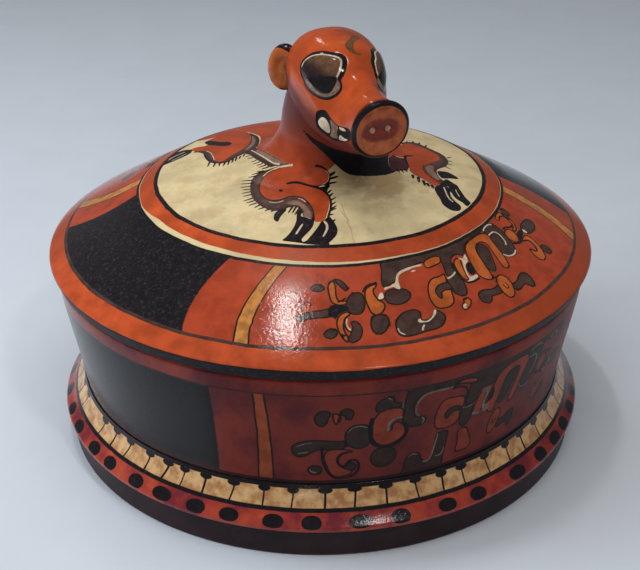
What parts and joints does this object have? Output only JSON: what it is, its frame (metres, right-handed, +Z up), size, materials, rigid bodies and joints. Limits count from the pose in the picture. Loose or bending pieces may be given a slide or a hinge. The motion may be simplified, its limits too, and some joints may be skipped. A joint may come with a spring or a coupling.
{
  "type": "lidded pottery bowl",
  "caption": "Round pottery bowl with a slanting flange at its foot and a domed lid that lifts off by an animal-head knob.",
  "frame": {"origin": "on the ground under the middle of the foot ring, on the vessel's axis", "axes": "+Z up along the vessel's axis, the animal head on the knob looks along -Y, +X to the animal's left"},
  "size_m": [0.32, 0.32, 0.2473],
  "materials": {
    "foot_slip": "satin",
    "bowl_slip": "gloss",
    "flange_slip": "gloss",
    "lid_slip": "gloss",
    "knob_slip": "gloss",
    "head_slip": "gloss",
    "snout_slip": "gloss"
  },
  "bodies": {
    "vessel": {"bowl": "bowl_slip", "basal_flange": "flange_slip", "foot_ring": "foot_slip"},
    "lid": {"lid": "lid_slip", "knob_neck": "knob_slip", "peccary_head": "head_slip", "snout_disc": "snout_slip", "ear_left": "head_slip", "ear_right": "head_slip"}
  },
  "joints": [
    {"name": "lid_lift", "type": "slide", "parent": "vessel", "child": "lid", "axis": [0, 0, 1], "range_m": [0, 0.16]}
  ]
}
